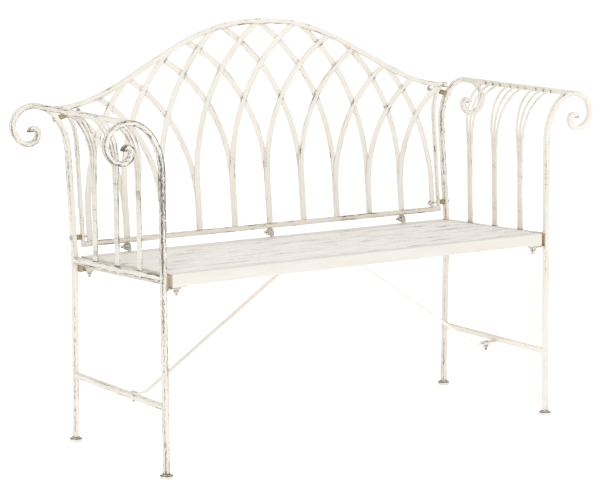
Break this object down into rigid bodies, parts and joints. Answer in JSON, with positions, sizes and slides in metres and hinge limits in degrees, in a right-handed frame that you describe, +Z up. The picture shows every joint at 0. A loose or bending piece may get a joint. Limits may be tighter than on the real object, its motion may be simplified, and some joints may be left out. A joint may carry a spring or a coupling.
{
  "type": "garden bench",
  "caption": "Painted steel garden bench with an arched lattice back, scrolled arms, a slatted seat and diagonal braces.",
  "frame": {"origin": "on the ground, under the middle of the bench's box", "axes": "+X along the bench to the right as seen from the front, +Y to the back, +Z up"},
  "size_m": [1.3174, 0.458, 0.9181],
  "materials": {
    "cream_paint": "antique cream paint, rubbed through to dark metal along the edges",
    "worn_fastener": "the same cream paint, worn off the corners of heads and nuts"
  },
  "bodies": {
    "root": {"left_front_post": "cream_paint", "left_front_foot": "cream_paint", "left_rear_post": "cream_paint", "left_rear_foot": "cream_paint", "left_arm_rail": "cream_paint", "left_side_rail": "cream_paint", "left_stretcher": "cream_paint", "left_spindles_front": "cream_paint", "left_spindles_middle": "cream_paint", "left_spindles_rear": "cream_paint", "right_front_post": "cream_paint", "right_front_foot": "cream_paint", "right_rear_post": "cream_paint", "right_rear_foot": "cream_paint", "right_arm_rail": "cream_paint", "right_side_rail": "cream_paint", "right_stretcher": "cream_paint", "right_spindles_front": "cream_paint", "right_spindles_middle": "cream_paint", "right_spindles_rear": "cream_paint", "back_top_rail": "cream_paint", "back_bottom_rail": "cream_paint", "back_left_stile": "cream_paint", "back_right_stile": "cream_paint", "back_strip_front_1": "cream_paint", "back_strip_rear_1": "cream_paint", "back_strip_front_2": "cream_paint", "back_strip_rear_2": "cream_paint", "back_strip_front_3": "cream_paint", "back_strip_rear_3": "cream_paint", "back_strip_front_4": "cream_paint", "back_strip_rear_4": "cream_paint", "back_strip_front_5": "cream_paint", "back_strip_rear_5": "cream_paint", "back_strip_front_6": "cream_paint", "back_strip_rear_6": "cream_paint", "back_strip_front_7": "cream_paint", "back_strip_rear_7": "cream_paint", "back_strip_front_8": "cream_paint", "back_strip_rear_8": "cream_paint", "back_strip_front_9": "cream_paint", "back_strip_rear_9": "cream_paint", "back_strip_front_10": "cream_paint", "back_strip_rear_10": "cream_paint", "seat_frame": "cream_paint", "seat_slat_1": "cream_paint", "seat_slat_2": "cream_paint", "seat_slat_3": "cream_paint", "seat_slat_4": "cream_paint", "seat_slat_5": "cream_paint", "seat_slat_6": "cream_paint", "seat_slat_7": "cream_paint", "left_brace": "cream_paint", "right_brace": "cream_paint", "left_back_bolt_low": "worn_fastener", "left_back_bolt_high": "worn_fastener", "left_brace_bolt": "worn_fastener", "right_back_bolt_low": "worn_fastener", "right_back_bolt_high": "worn_fastener", "right_brace_bolt": "worn_fastener"}
  },
  "joints": []
}
